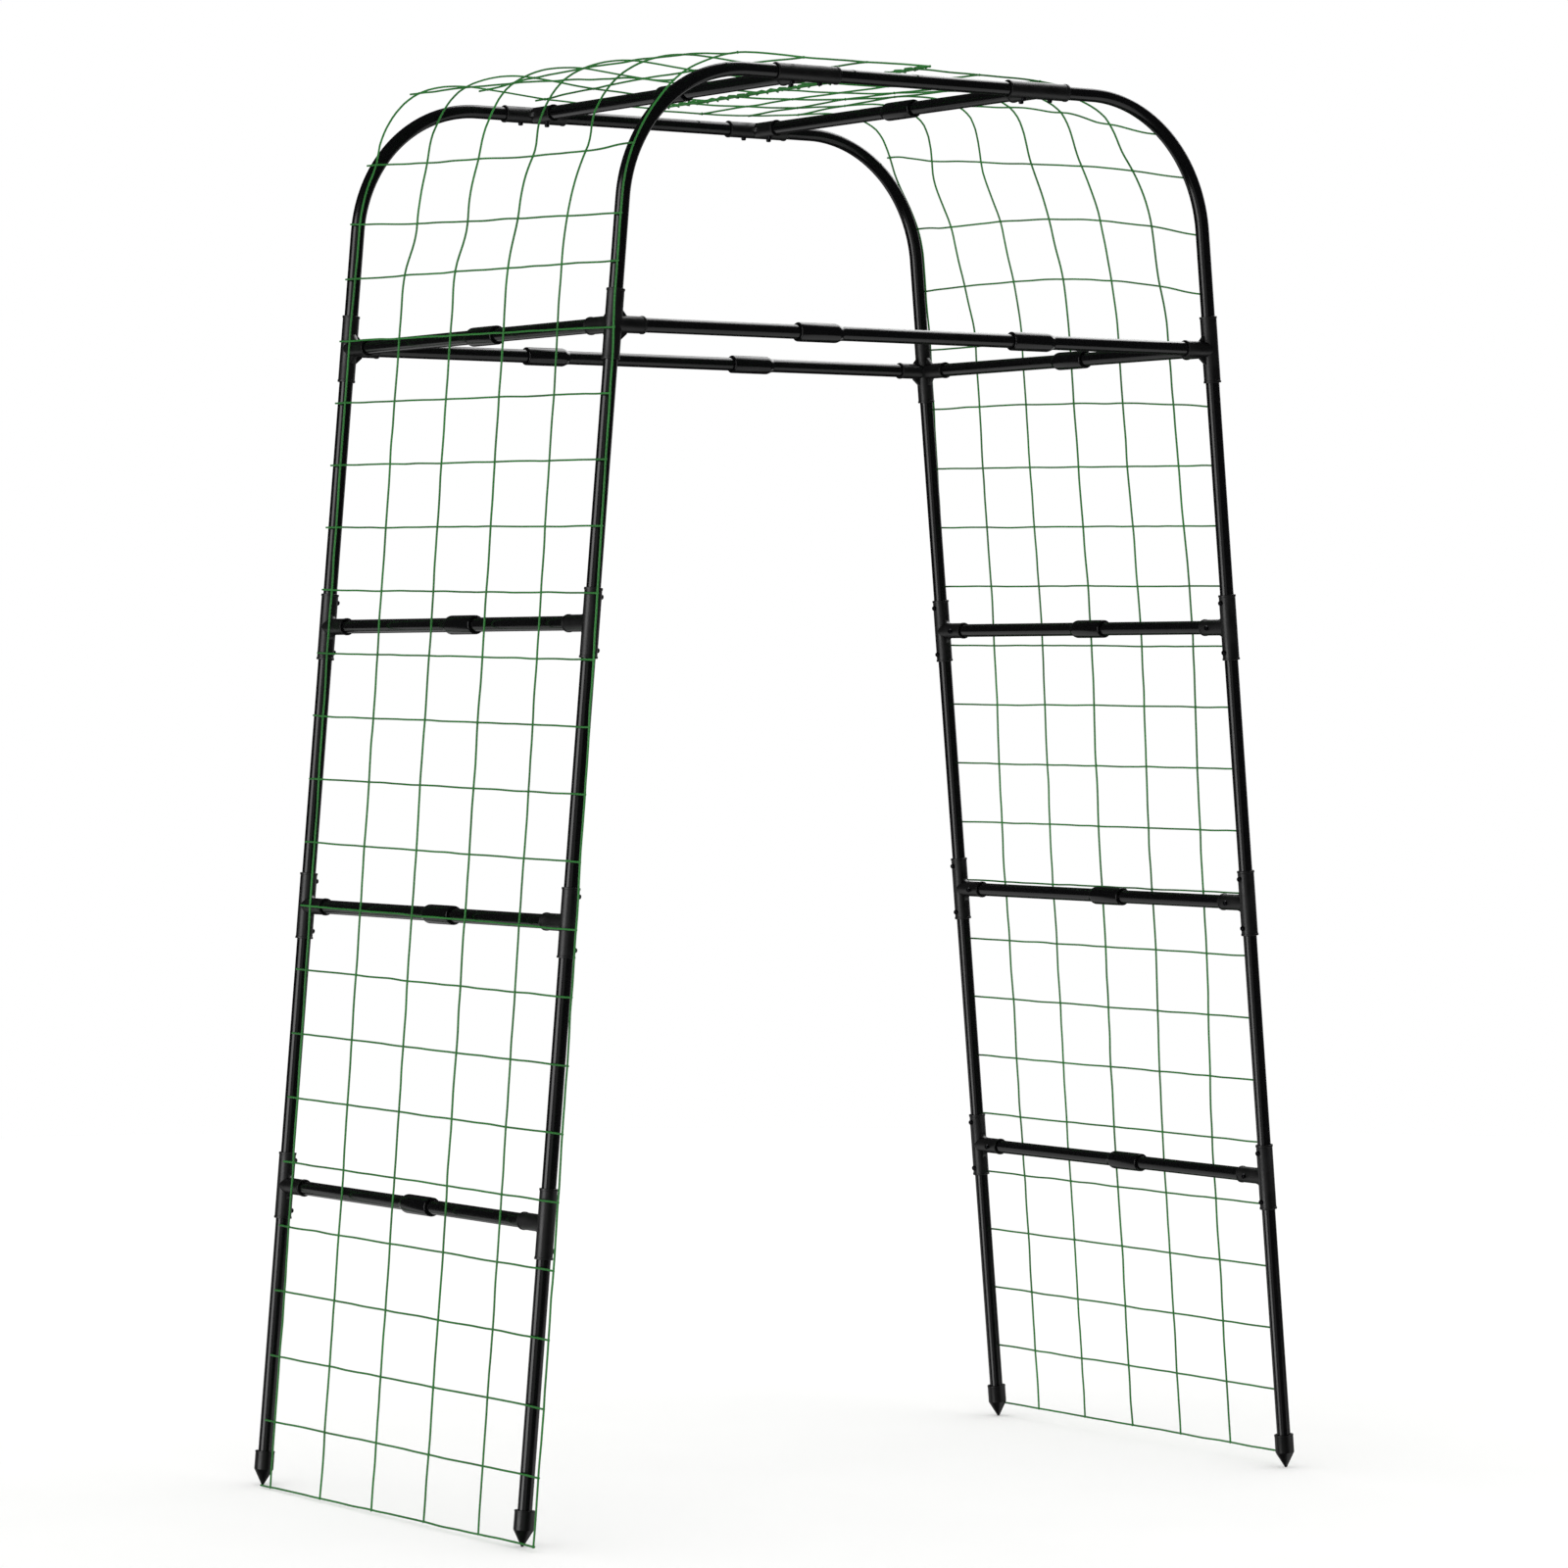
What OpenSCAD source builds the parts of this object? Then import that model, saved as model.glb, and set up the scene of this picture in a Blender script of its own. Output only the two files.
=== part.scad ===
// Walk-through garden trellis arch for climbing plants.
// Two leaning ladder sides carry a front arch and a back arch. Every joint is a moulded socket
// fitting or an expanded tube end. Two nets lie over the outside, each from the middle of the top
// to the feet of its own side.
// X runs across the walkway, Y along it with the front at -Y, and Z up from the ground.

/* [Arch] */
// Distance between the leg axes at the spring line, where the arches begin
spring_w = 987; // [760:1:1600]
// Distance between the axes of the front arch and the back arch
arch_depth = 671; // [420:1:1200]
// Height of the top tubes above the spring line
arch_rise = 340; // [280:1:600]
// Lean of the legs away from the vertical, in degrees
leg_lean = 5.1; // [2:0.1:9]
// Distance along a leg from one rung to the next
rung_pitch = 386; // [220:1:600]
// Distance along a leg from the point of the foot to the lowest rung
foot_drop = 412; // [240:1:600]
// Radius of the corner bends, to the tube's axis
bend_r = 194; // [120:1:220]
// Straight tube between a corner bend and its top tee
bend_tail = 45; // [10:1:80]
// Diameter that a tube loses where it is bent
bend_thin = 0.1; // [0.02:0.02:0.4]

/* [Tubes] */
// Outside diameter of every tube
tube_d = 19; // [14:0.5:25]
// Wall of every tube
tube_wall = 0.8; // [0.6:0.1:2]
// Wall of an expanded tube end, around the tube that it holds
sleeve_wall = 3.15; // [1.5:0.05:5]
// Depth that a plain tube end goes into an expanded one
sleeve_grip = 48; // [25:1:75]
// Length that the expanded end has beyond the tube in it, at its full diameter
sleeve_spare = 12; // [4:1:30]
// Length of the shoulder between the expanded end and the tube
sleeve_taper = 12; // [6:1:20]
// Place of the rung joints: mouth of the expanded end, measured from mid-depth
rung_joint = -55; // [-90:1:0]
// Distance between the two joint mouths of a tie bar
tie_mid = 352; // [200:1:400]
// Sideways place of the middle of those two mouths
tie_shift = -29; // [-60:1:0]

/* [Socket fittings] */
// Wall of a fitting's main barrel, around the tubes that it holds
barrel_wall = 1.85; // [1.3:0.05:4]
// Wall of a fitting's side arms, around the tubes that they hold
arm_wall = 1.55; // [1.2:0.05:3.5]
// Length of a leg tee's barrel
tee_len = 91; // [70:1:120]
// Length of a top tee's barrel
top_tee_len = 100; // [80:1:130]
// Length of a four-way fitting's barrel
cross_len = 92; // [70:1:120]
// Reach of the depth arms from the barrel's axis
arm_reach = 54; // [44:1:70]
// Reach of the tie arm from the barrel's axis
tie_arm_reach = 46; // [42:1:60]
// Thickness of the stop between two sockets
socket_stop = 12; // [8:0.5:16]
// Diameter added by the rim at each socket mouth
rim_grow = 1.4; // [0.6:0.1:2.4]
// Length of the rim at each socket mouth
rim_len = 3; // [2:0.5:6]
// Thickness of the webs in the corners
web_t = 6; // [4:0.5:8]
// Size of the webs in the corners
web_size = 10; // [6:0.5:12]

/* [Foot caps] */
// Wall of the cap's collar, around the tube that it holds
cap_wall = 3.55; // [1.5:0.05:6]
// Length of the cap's collar
cap_collar = 25; // [15:1:40]
// Length of the cap's point
cap_cone = 21.5; // [15:0.5:40]
// Diameter of the blunt end of the point
cap_tip_d = 3; // [2:0.5:6]

/* [Screws] */
// Diameter of the screw shank
screw_d = 4; // [3:0.1:5]
// Length of the screw shank
screw_len = 6; // [4:0.5:8]
// Diameter of the screw head
screw_head_d = 7; // [6:0.1:8]
// Height of the screw head
screw_head_h = 4; // [2:0.1:5]
// Distance of the leg tees' screws from the barrel ends
tee_screw_in = 11; // [8:0.5:20]
// Distance of the top tees' screws from the middle of the barrel
top_screw_off = 22; // [14:0.5:34]
// Distance of an arm's screw from its mouth
arm_screw_in = 19; // [8:0.5:24]

/* [Net] */
// Thickness of the net's twine
twine_d = 2.8; // [1.6:0.1:4]
// Width of a mesh of the left net along the walkway, before it is fitted to whole meshes
left_mesh_w = 134; // [60:1:200]
// Width of a mesh of the right net along the walkway, before it is fitted to whole meshes
right_mesh_w = 112; // [60:1:200]
// Height of a mesh along the leg, before it is fitted to whole meshes
mesh_h = 88; // [60:1:200]
// How far each net is shifted along the walkway, the left one to the front and the right one to the back
net_skew = 32; // [0:1:60]
// Distance along a leg from the point of the foot to the nets' lower hems
net_lift = 6; // [4:1:60]

/* [Clearances] */
// Gap all round between a tube and the socket that holds it
tube_fit = 0.15; // [0.05:0.05:0.4]
// Gap all round between a screw and its hole
screw_fit = 0.1; // [0.05:0.05:0.3]
// Gap between a tube's end and the bottom of its socket
end_gap = 0.5; // [0.2:0.1:2]
// Gap between the nets and the widest piece below them
net_gap = 0.5; // [0.2:0.1:4]

/* [Hidden] */
$fn = 64;

LEGS = ["front_left", "front_right", "back_left", "back_right"];
SIDES = ["left", "right"];
ENDS = ["front", "back"];
RUNGS = 3;

steel = [0.05, 0.05, 0.06];
plastic = [0.1, 0.1, 0.11];
cap_plastic = [0.07, 0.07, 0.08];
screw_steel = [0.03, 0.03, 0.03];
twine_green = [0.09, 0.42, 0.18];

// Tubes, sockets and screws
over = 1; // how far a cut runs past the face that it opens
inner_d = tube_d - 2 * tube_wall;
bore_d = tube_d + 2 * tube_fit;
sleeve_d = bore_d + 2 * sleeve_wall;
sleeve_len = sleeve_grip + sleeve_spare;
mouth_bevel = sleeve_wall / 3;
barrel_d = bore_d + 2 * barrel_wall;
arm_d = bore_d + 2 * arm_wall;
rim_d = barrel_d + rim_grow;
web_sink = 0.6;
spot_depth = 0.5;
spot_d = screw_head_d + 1;
hole_d = screw_d + 2 * screw_fit;
hole_fn = 32;
head_bevel = 1;
floor_t = socket_stop / 4;
tube_stop = socket_stop / 2 + end_gap;
arm_floor = barrel_d / 2 + floor_t;
arm_tube_end = arm_floor + end_gap;
leg_screw_off = tee_len / 2 - tee_screw_in;
arm_screw_at = arm_reach - arm_screw_in;

// Foot caps
cap_d = bore_d + 2 * cap_wall;
cap_rim_d = cap_d + rim_grow / 2;
cap_rim_len = 2;
cap_len = cap_cone + cap_collar;
cap_bore_floor = cap_cone + floor_t;

// Legs: distances along a leg's axis, measured from the point of the foot
leg_len = foot_drop + RUNGS * rung_pitch;
function tee_at(level) = leg_len - level * rung_pitch;
tip_lift = cap_tip_d / 2 * sin(leg_lean);
spring_z = leg_len * cos(leg_lean) + tip_lift;
half_w = spring_w / 2;
half_d = arch_depth / 2;

// Arches: the bend starts on the leg's own line and ends level
top_z = spring_z + arch_rise;
bend_start = (arch_rise - bend_r * (1 - sin(leg_lean))) / cos(leg_lean);
bend_x = half_w - bend_start * sin(leg_lean) - bend_r * cos(leg_lean);
bend_z = top_z - bend_r;
bend_lap = 0.5 / bend_r * 180 / PI;
tee_x = bend_x - bend_tail - top_tee_len / 2;

// Tie bars: their ends in the four-way fittings, and the mouths of their two joints
tie_end = half_w - arm_tube_end;
left_mouth = tie_shift - tie_mid / 2;
right_mouth = tie_shift + tie_mid / 2;

// Nets: they lie outside the widest piece that they pass, and meet at the middle of the top
net_off = max(cap_rim_d, sleeve_d, rim_d) / 2 + net_gap + twine_d / 2;
side_net_len = leg_len + bend_start - net_lift;
side_rows = round(side_net_len / mesh_h);
net_bend_r = bend_r + net_off;
bend_bands = max(2, round(net_bend_r * (90 - leg_lean) * PI / 180 / mesh_h));
crown_rows = max(1, round(bend_x / mesh_h));
cross_d = 0.9 * twine_d; // a band's cross strand sinks into its arcs
net_split = 0.4; // gap between one piece of net and the next

function net_cols(side) = max(1, round(arch_depth / (is_left(side) ? left_mesh_w : right_mesh_w)));
function net_shift(side) = is_left(side) ? -net_skew : net_skew;

function is_left(name) = name == "front_left" || name == "back_left" || name == "left";
function is_back(name) = name == "back_left" || name == "back_right" || name == "back";

// Mirrors a piece that was drawn for the front right corner to another corner
module at_corner(name) {
    mirror([is_left(name) ? 1 : 0, 0, 0])
        mirror([0, is_back(name) ? 1 : 0, 0])
            children();
}

// Leg frame: origin at the foot's point, z up the leg, -x to the walkway, +y to mid-depth
module on_leg() {
    translate([half_w, -half_d, spring_z])
        rotate([0, -leg_lean, 0])
            translate([0, 0, -leg_len])
                children();
}

module along_x() {
    rotate([0, 90, 0]) children();
}

module along_y() {
    rotate([-90, 0, 0]) children();
}

// Tube along z from a to b
module tube(a, b) {
    translate([0, 0, a])
        difference() {
            cylinder(d = tube_d, h = b - a);
            translate([0, 0, -over]) cylinder(d = inner_d, h = b - a + 2 * over);
        }
}

// Tube along z with an expanded end at z = 0 and its plain end at z = len
module sleeved_tube(len) {
    neck = sleeve_len + sleeve_taper;
    floor_z = sleeve_grip + end_gap;
    rotate_extrude()
        polygon([
            [bore_d / 2 + mouth_bevel, 0],
            [sleeve_d / 2 - mouth_bevel, 0],
            [sleeve_d / 2, mouth_bevel],
            [sleeve_d / 2, sleeve_len],
            [tube_d / 2, neck],
            [tube_d / 2, len],
            [inner_d / 2, len],
            [inner_d / 2, floor_z],
            [bore_d / 2, floor_z],
            [bore_d / 2, mouth_bevel]
        ]);
}

// Screw hole along -x through a tube wall, at z
module tube_hole(z) {
    translate([0, 0, z])
        rotate([0, -90, 0]) cylinder(d = hole_d, h = tube_d, $fn = hole_fn);
}

// Screw hole and flat seat along -x in a fitting of diameter d, at z
module seat_hole(d, z) {
    translate([0, 0, z])
        rotate([0, -90, 0]) {
            cylinder(d = hole_d, h = d, $fn = hole_fn);
            translate([0, 0, d / 2 - spot_depth]) cylinder(d = spot_d, h = d, $fn = hole_fn);
        }
}

// Screw along -x, seated on a fitting of diameter d, at z
module screw(d, z) {
    seat = d / 2 - spot_depth;
    translate([0, 0, z])
        rotate([0, -90, 0])
            rotate_extrude($fn = hole_fn)
                polygon([
                    [0, seat - screw_len],
                    [screw_d / 2, seat - screw_len],
                    [screw_d / 2, seat],
                    [screw_head_d / 2, seat],
                    [screw_head_d / 2, seat + screw_head_h - head_bevel],
                    [screw_head_d / 2 - head_bevel, seat + screw_head_h],
                    [0, seat + screw_head_h]
                ]);
}

// Outside of a socket along z, ending at z = reach
module socket_body(d, reach) {
    cylinder(d = d, h = reach);
    translate([0, 0, reach - rim_len]) cylinder(d = d + rim_grow, h = rim_len);
}

// Bore of a socket along z, from its floor to z = reach
module socket_bore(floor_z, reach) {
    translate([0, 0, floor_z]) cylinder(d = bore_d, h = reach - floor_z + over);
}

// Barrel along z with a rim at each end
module barrel(len) {
    socket_body(barrel_d, len / 2);
    mirror([0, 0, 1]) socket_body(barrel_d, len / 2);
}

module barrel_bores(len) {
    socket_bore(socket_stop / 2, len / 2);
    mirror([0, 0, 1]) socket_bore(socket_stop / 2, len / 2);
}

// Hollowed web in the +y, +z corner between a barrel and an arm
module curved_web() {
    side_y = barrel_d / 2 - web_sink + web_size;
    side_z = arm_d / 2 - web_sink + web_size;
    translate([-web_t / 2, 0, 0])
        rotate([90, 0, 90])
            linear_extrude(height = web_t)
                difference() {
                    square([side_y, side_z]);
                    translate([side_y, side_z]) circle(r = web_size);
                }
}

// Straight web in the +y, +z corner between a barrel and an arm
module straight_web() {
    near_y = barrel_d / 2 - web_sink;
    near_z = arm_d / 2 - web_sink;
    translate([-web_t / 2, 0, 0])
        rotate([90, 0, 90])
            linear_extrude(height = web_t)
                polygon([
                    [0, 0],
                    [near_y + web_size, 0],
                    [near_y + web_size, near_z],
                    [near_y, near_z + web_size],
                    [0, near_z + web_size]
                ]);
}

// Three-way fitting: barrel along z, arm along +y
module tee(len) {
    difference() {
        union() {
            barrel(len);
            along_y() socket_body(arm_d, arm_reach);
            curved_web();
            mirror([0, 0, 1]) curved_web();
        }
        barrel_bores(len);
        along_y() socket_bore(arm_floor, arm_reach);
        children();
    }
}

// Screw holes of a tee: two in the barrel, each at off from its middle, and one in the arm
module tee_cuts(off) {
    for (z = [-off, off])
        seat_hole(barrel_d, z);
    along_y() seat_hole(arm_d, arm_screw_at);
}

// Screws of a tee, in the same places as its holes
module tee_screws(off) {
    for (z = [-off, off])
        screw(barrel_d, z);
    along_y() screw(arm_d, arm_screw_at);
}

// Frame at x on the front top tube: its z to the right, its +y to mid-depth, its -x downwards
module on_top(x) {
    translate([x, -half_d, top_z])
        along_x() mirror([1, 0, 0]) children();
}

module foot_cap(leg) {
    color(cap_plastic)
        at_corner(leg)
            on_leg()
                rotate_extrude()
                    polygon([
                        [0, 0],
                        [cap_tip_d / 2, 0],
                        [cap_d / 2, cap_cone],
                        [cap_d / 2, cap_len - cap_rim_len],
                        [cap_rim_d / 2, cap_len - cap_rim_len],
                        [cap_rim_d / 2, cap_len],
                        [bore_d / 2, cap_len],
                        [bore_d / 2, cap_bore_floor],
                        [0, cap_bore_floor]
                    ]);
}

module foot_tube(leg) {
    color(steel)
        at_corner(leg)
            on_leg()
                difference() {
                    tube(cap_bore_floor + end_gap, foot_drop - tube_stop);
                    tube_hole(foot_drop - leg_screw_off);
                }
}

// The three tubes between the lowest tee and the four-way fitting
module leg_tubes(leg) {
    color(steel)
        at_corner(leg)
            on_leg()
                for (level = [1:RUNGS])
                    difference() {
                        tube(tee_at(level) + tube_stop, tee_at(level - 1) - tube_stop);
                        tube_hole(tee_at(level) + leg_screw_off);
                        if (level > 1)
                            tube_hole(tee_at(level - 1) - leg_screw_off);
                    }
}

module leg_tees(leg) {
    color(plastic)
        at_corner(leg)
            on_leg()
                for (level = [1:RUNGS])
                    translate([0, 0, tee_at(level)])
                        tee(tee_len) tee_cuts(leg_screw_off);
}

// Four-way fitting: barrel up the leg, one arm to mid-depth and one level arm for the tie bar
module four_way_fitting(leg) {
    color(plastic)
        at_corner(leg)
            on_leg()
                translate([0, 0, leg_len])
                    difference() {
                        union() {
                            barrel(cross_len);
                            along_y() socket_body(arm_d, arm_reach);
                            tie_arm_frame() socket_body(arm_d, tie_arm_reach);
                            for (turn = [0, 90], flip = [0, 1])
                                rotate([0, 0, turn]) mirror([0, 0, flip]) straight_web();
                        }
                        barrel_bores(cross_len);
                        along_y() socket_bore(arm_floor, arm_reach);
                        tie_arm_frame() socket_bore(arm_floor, tie_arm_reach);
                    }
}

// The tie arm stays level while the leg leans; its z points to the walkway
module tie_arm_frame() {
    rotate([0, leg_lean - 90, 0]) children();
}

// Solid rod of diameter d along a corner tube's whole path, longer than the tube by extra at each end.
// The bend is a little thinner than the straights and starts just inside them.
module corner_rod(d, extra) {
    on_leg()
        translate([0, 0, leg_len + tube_stop - extra])
            cylinder(d = d, h = bend_start - tube_stop + extra);
    translate([bend_x, -half_d, bend_z])
        rotate([90, 0, 0])
            rotate([0, 0, leg_lean - bend_lap])
                rotate_extrude(angle = 90 - leg_lean + 2 * bend_lap)
                    translate([bend_r, 0]) circle(d = d - bend_thin);
    on_top(tee_x)
        translate([0, 0, tube_stop - extra])
            cylinder(d = d, h = bend_x - tee_x - tube_stop + extra);
}

// One bent tube: up the leg's line, round the corner and level into the top tee
module corner_bend(leg) {
    color(steel)
        at_corner(leg)
            difference() {
                corner_rod(tube_d, 0);
                corner_rod(inner_d, over);
                on_top(tee_x) tube_hole(top_screw_off);
            }
}

module top_tee(leg) {
    color(plastic)
        at_corner(leg)
            on_top(tee_x) tee(top_tee_len) tee_cuts(top_screw_off);
}

module top_tube(end) {
    reach = tee_x - tube_stop;
    color(steel)
        at_corner(end)
            on_top(0)
                difference() {
                    tube(-reach, reach);
                    tube_hole(tee_x - top_screw_off);
                    tube_hole(top_screw_off - tee_x);
                }
}

// Half of a bar that runs along the walkway, in a frame with y from the front fitting's axis.
// The back half carries the expanded end, and its mouth faces the front.
module bar_half(leg) {
    mouth = half_d + rung_joint;
    if (is_back(leg))
        translate([0, mouth, 0])
            along_y() sleeved_tube(arch_depth - arm_tube_end - mouth);
    else
        along_y() tube(arm_tube_end, mouth + sleeve_grip);
}

// Screw hole of a bar half, in the same frame
module bar_hole(leg) {
    along_y() tube_hole(is_back(leg) ? arch_depth - arm_screw_at : arm_screw_at);
}

module rung(leg, level) {
    color(steel)
        mirror([is_left(leg) ? 1 : 0, 0, 0])
            on_leg()
                translate([0, 0, tee_at(level)])
                    difference() {
                        bar_half(leg);
                        bar_hole(leg);
                    }
}

module spring_bar(leg) {
    color(steel)
        mirror([is_left(leg) ? 1 : 0, 0, 0])
            on_leg()
                translate([0, 0, leg_len])
                    bar_half(leg);
}

module top_bar(leg) {
    color(steel)
        mirror([is_left(leg) ? 1 : 0, 0, 0])
            on_top(tee_x)
                difference() {
                    bar_half(leg);
                    bar_hole(leg);
                }
}

// Tie bar tubes run along x at the spring line; both joint mouths face the left
module on_tie(end, x) {
    translate([x, is_back(end) ? half_d : -half_d, spring_z])
        along_x() children();
}

module outer_tie(leg) {
    color(steel)
        if (is_left(leg))
            on_tie(leg, 0) tube(-tie_end, left_mouth + sleeve_grip);
        else
            on_tie(leg, right_mouth) sleeved_tube(tie_end - right_mouth);
}

module middle_tie(end) {
    color(steel)
        on_tie(end, left_mouth) sleeved_tube(tie_mid + sleeve_grip);
}

// Flat grid of twine in the xy plane, from the origin
module net_grid(len_x, len_y, rows, cols) {
    pitch_x = (len_x - twine_d) / rows;
    pitch_y = (len_y - twine_d) / cols;
    linear_extrude(height = twine_d)
        difference() {
            square([len_x, len_y]);
            for (i = [0:rows - 1], j = [0:cols - 1])
                translate([twine_d + i * pitch_x, twine_d + j * pitch_y])
                    square([pitch_x - twine_d, pitch_y - twine_d]);
        }
}

// The net on one side, flat from its hem to the start of the corner bends
module side_net(side) {
    color(twine_green)
        mirror([is_left(side) ? 1 : 0, 0, 0])
            on_leg()
                translate([net_off + twine_d / 2, net_shift(side) - twine_d / 2, net_lift])
                    rotate([0, -90, 0])
                        net_grid(
                            side_net_len - net_split,
                            arch_depth + twine_d,
                            side_rows,
                            net_cols(side)
                        );
}

// One band of a side's net over a corner: short arcs of twine joined by one cross strand
module net_band(side, turn) {
    span = turn - net_split / net_bend_r * 180 / PI;
    for (j = [0:net_cols(side)])
        translate([0, 0, -net_shift(side) - j * arch_depth / net_cols(side)])
            rotate_extrude(angle = span)
                translate([net_bend_r, 0]) square(twine_d, center = true);
    rotate([0, 0, turn / 2])
        translate([net_bend_r, 0, -net_shift(side) - arch_depth])
            cylinder(d = cross_d, h = arch_depth, $fn = hole_fn);
}

// Both nets over the corners, in bands that follow the curve, and flat to the middle of the top
module crown_net() {
    turn = (90 - leg_lean) / bend_bands;
    color(twine_green)
        for (side = SIDES)
            mirror([is_left(side) ? 1 : 0, 0, 0]) {
                for (band = [0:bend_bands - 1])
                    translate([bend_x, -half_d, bend_z])
                        rotate([90, 0, 0])
                            rotate([0, 0, leg_lean + band * turn])
                                net_band(side, turn);
                translate([
                    net_split / 2,
                    net_shift(side) - half_d - twine_d / 2,
                    top_z + net_off - twine_d / 2
                ])
                    net_grid(
                        bend_x - 1.5 * net_split,
                        arch_depth + twine_d,
                        crown_rows,
                        net_cols(side)
                    );
            }
}

module fitting_screws() {
    color(screw_steel)
        for (leg = LEGS)
            at_corner(leg) {
                on_leg()
                    for (level = [1:RUNGS])
                        translate([0, 0, tee_at(level)]) tee_screws(leg_screw_off);
                on_top(tee_x) tee_screws(top_screw_off);
            }
}

for (leg = LEGS) {
    foot_cap(leg);
    foot_tube(leg);
    leg_tubes(leg);
    leg_tees(leg);
    four_way_fitting(leg);
    corner_bend(leg);
    top_tee(leg);
    spring_bar(leg);
    top_bar(leg);
    outer_tie(leg);
    for (level = [1:RUNGS])
        rung(leg, level);
}
for (end = ENDS) {
    top_tube(end);
    middle_tie(end);
}
for (side = SIDES)
    side_net(side);
crown_net();
fitting_screws();
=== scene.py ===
# Walk-through garden trellis arch: gloss black tubes, matte black socket fittings and two
# green twine nets. Everything is in metres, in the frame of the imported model.
import math

import bpy
from mathutils import Matrix, Vector


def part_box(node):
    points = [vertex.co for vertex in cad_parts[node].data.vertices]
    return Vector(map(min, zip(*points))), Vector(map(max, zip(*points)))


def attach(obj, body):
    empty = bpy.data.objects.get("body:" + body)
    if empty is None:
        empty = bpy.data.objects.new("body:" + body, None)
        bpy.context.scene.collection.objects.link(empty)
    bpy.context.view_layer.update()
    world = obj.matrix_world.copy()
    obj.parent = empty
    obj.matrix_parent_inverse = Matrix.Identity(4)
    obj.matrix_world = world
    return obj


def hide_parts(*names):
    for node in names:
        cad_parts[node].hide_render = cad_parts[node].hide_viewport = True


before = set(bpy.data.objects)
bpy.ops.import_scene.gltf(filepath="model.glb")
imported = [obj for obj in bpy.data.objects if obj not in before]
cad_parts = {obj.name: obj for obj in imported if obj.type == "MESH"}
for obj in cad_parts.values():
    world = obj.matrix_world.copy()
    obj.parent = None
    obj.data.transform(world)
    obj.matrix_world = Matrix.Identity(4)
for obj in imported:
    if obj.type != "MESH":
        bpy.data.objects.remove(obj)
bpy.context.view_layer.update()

scene = bpy.context.scene
MM = 0.001

# ---------------------------------------------------------------- sizes of the parts, in metres
TUBE_R = 9.5 * MM
TUBE_WALL = 0.8 * MM
BORE_R = 9.65 * MM
SLEEVE_R = 12.8 * MM
SLEEVE_LEN = 60 * MM
SLEEVE_GRIP = 48.5 * MM
SLEEVE_SHOULDER = 12 * MM
SHOULDER_STEPS = 8
BARREL_R = 11.5 * MM
ARM_R = 11.2 * MM
RIM_GROW = 0.7 * MM
RIM_LEN = 3 * MM
STOP_HALF = 6 * MM
ARM_FLOOR = 14.5 * MM
ARM_ROOT = 2.5 * MM
ARM_REACH = 54 * MM
TIE_ARM_REACH = 46 * MM
TEE_LEN = 91 * MM
TOP_TEE_LEN = 100 * MM
FOUR_WAY_LEN = 92 * MM
WEB_T = 6 * MM
WEB_SIZE = 10 * MM
WEB_SINK = 0.6 * MM
WEB_ROOT = 4 * MM
WEB_BEVEL = 0.9 * MM
WEB_STEPS = 8
CAP_R = 13.2 * MM
CAP_CONE = 21.5 * MM
CAP_LEN = 46.5 * MM
CAP_TIP_R = 1.5 * MM
CAP_RIM_LEN = 2 * MM
CAP_FLOOR = 3 * MM
MOUTH_FILLET = 0.4 * MM
RIM_FILLET = 0.6 * MM
STEP_FILLET = 0.3 * MM
SOCKET_FILLET = 0.5 * MM
SEAT_SINK = 0.5 * MM
LEG_SCREW_OFF = 34.5 * MM
TOP_SCREW_OFF = 22 * MM
ARM_SCREW_AT = 35 * MM
TWINE_R = 1.4 * MM

# Screw head: rings of (radius, height) from the shank's end to the top, then the cross recess
HEAD_RINGS = [
    (2.0 * MM, -5.5 * MM),
    (2.0 * MM, 0 * MM),
    (3.5 * MM, 0 * MM),
    (3.5 * MM, 2.2 * MM),
    (3.35 * MM, 3.0 * MM),
    (2.95 * MM, 3.6 * MM),
    (2.4 * MM, 4.0 * MM),
]
HEAD_SIDES = 24
CROSS_HALF_W = 0.55 * MM
CROSS_REACH = 1.9 * MM
CROSS_DEEP = 1.5 * MM
CROSS_TAPER = 0.7

# Angles above these stay sharp, in degrees
SOLID_CREASE = 32
TWINE_CREASE = 80

CORNERS = {
    "front_left": (-1, 1),
    "front_right": (1, 1),
    "back_left": (-1, -1),
    "back_right": (1, -1),
}


# ---------------------------------------------------------------- where the parts are
def centre(node):
    """Middle of a node's box."""
    lo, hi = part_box(node)
    return (Vector(lo) + Vector(hi)) / 2


# The bars' middles give the leg's line, drawn for the front right corner
ARCH_Y = centre("front_middle_tie").y
SPRING = centre("front_right_spring_bar")
LOWEST = centre("front_right_rung_3")
LEG_UP = Vector((SPRING.x - LOWEST.x, 0, SPRING.z - LOWEST.z)).normalized()
LEAN = math.atan2(-LEG_UP.x, LEG_UP.z)
FOOT_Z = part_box("front_right_foot_cap")[0][2] + CAP_TIP_R * math.sin(LEAN)
LEG_LEN = (SPRING.z - FOOT_Z) / LEG_UP.z
TOP_BAR = centre("front_right_top_bar")

# The corner bend: it starts on the leg's line and ends level at the top
BEND_R = 194 * MM
BEND_START = (TOP_BAR.z - SPRING.z - BEND_R * (1 - math.sin(LEAN))) / math.cos(LEAN)
BEND_X = SPRING.x - BEND_START * math.sin(LEAN) - BEND_R * math.cos(LEAN)
BEND_Z = TOP_BAR.z - BEND_R
BEND_FROM = LEG_LEN + BEND_START
BEND_ARC = BEND_R * (math.pi / 2 - LEAN)


def axes(x, y, z, origin):
    """Frame with the three given axes, at origin."""
    turn = Matrix((x, y, z)).transposed().to_4x4()
    return Matrix.Translation(origin) @ turn


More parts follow.
